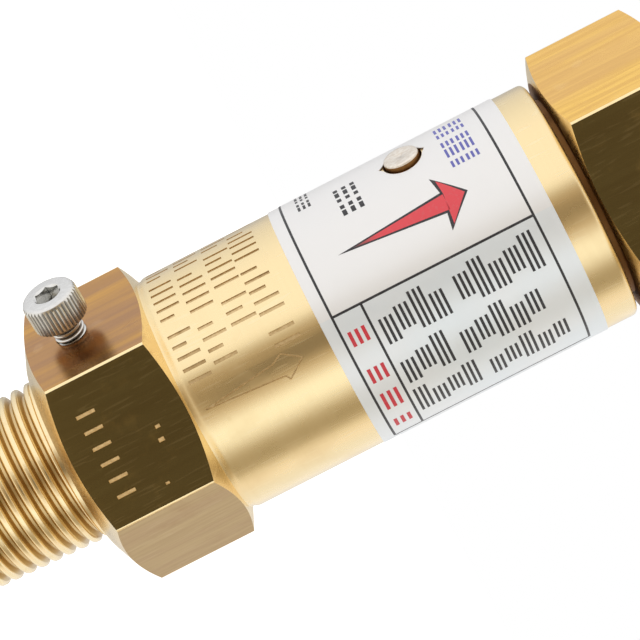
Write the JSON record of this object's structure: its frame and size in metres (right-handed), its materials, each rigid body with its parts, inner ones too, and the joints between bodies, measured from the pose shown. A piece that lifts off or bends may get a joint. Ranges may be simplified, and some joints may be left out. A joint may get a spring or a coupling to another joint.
{
  "type": "pressure relief valve",
  "caption": "Straight-through spring-loaded relief valve: threaded inlet, hexagon with a lock screw, labelled round barrel, hexagonal female outlet.",
  "frame": {"origin": "on the valve's axis, at the end face of the male inlet thread", "axes": "+Z along the axis from inlet to outlet, +X out through the lock screw in the inlet hexagon"},
  "size_m": [0.0385, 0.0368, 0.1048],
  "materials": {
    "body_brass": "turned, satin",
    "inner_brass": "turned",
    "bronze": "turned",
    "stainless": "ground",
    "pin_steel": "sawn and faced",
    "spring_steel": "drawn wire",
    "nickel_plate": "bright plate",
    "seat_rubber": "moulded",
    "seal_rubber": "moulded",
    "soft_aluminium": "annealed",
    "label_film": "printed film"
  },
  "bodies": {
    "valve": {"valve_body": "body_brass", "seat_nozzle": "stainless", "nozzle_gasket": "soft_aluminium", "main_spring": "spring_steel", "upper_spring_seat": "inner_brass", "adjusting_screw": "inner_brass", "spindle_guide_bush": "bronze", "adjuster_lock_pin": "pin_steel", "outlet_connector": "body_brass", "outlet_o_ring": "seal_rubber", "label_wrap": "label_film"},
    "disc_group": {"disc_holder": "inner_brass", "seat_disc": "seat_rubber", "disc_clamp_washer": "stainless", "disc_clamp_screw": "stainless", "thrust_ball": "stainless", "spindle": "stainless", "lower_spring_seat": "inner_brass"},
    "blowdown": {"blowdown_ring": "inner_brass"},
    "pad": {"lock_pad": "inner_brass"},
    "lock": {"lock_screw": "nickel_plate"}
  },
  "joints": [
    {"name": "disc_lift", "type": "slide", "parent": "valve", "child": "disc_group", "axis": [0, 0, 1], "range_m": [0, 0.003], "stiffness_N_per_m": 1000, "springref_m": -0.003, "deforming": ["main_spring"]},
    {"name": "blowdown_ring_turn", "type": "hinge", "parent": "valve", "child": "blowdown", "pos_m": [0, 0, 0.0274], "axis": [0, 0, 1], "range_deg": [-180, 180]},
    {"name": "lock_pad_travel", "type": "slide", "parent": "valve", "child": "pad", "axis": [1, 0, 0], "range_m": [0, 0.0021]},
    {"name": "lock_screw_turn", "type": "hinge", "parent": "pad", "child": "lock", "pos_m": [0.0184, 0, 0.0259], "axis": [1, 0, 0], "range_deg": [0, 1080]}
  ],
  "couplings": [
    {"joint": "lock_screw_turn", "follows": "lock_pad_travel", "rad_per_m": 8976}
  ]
}
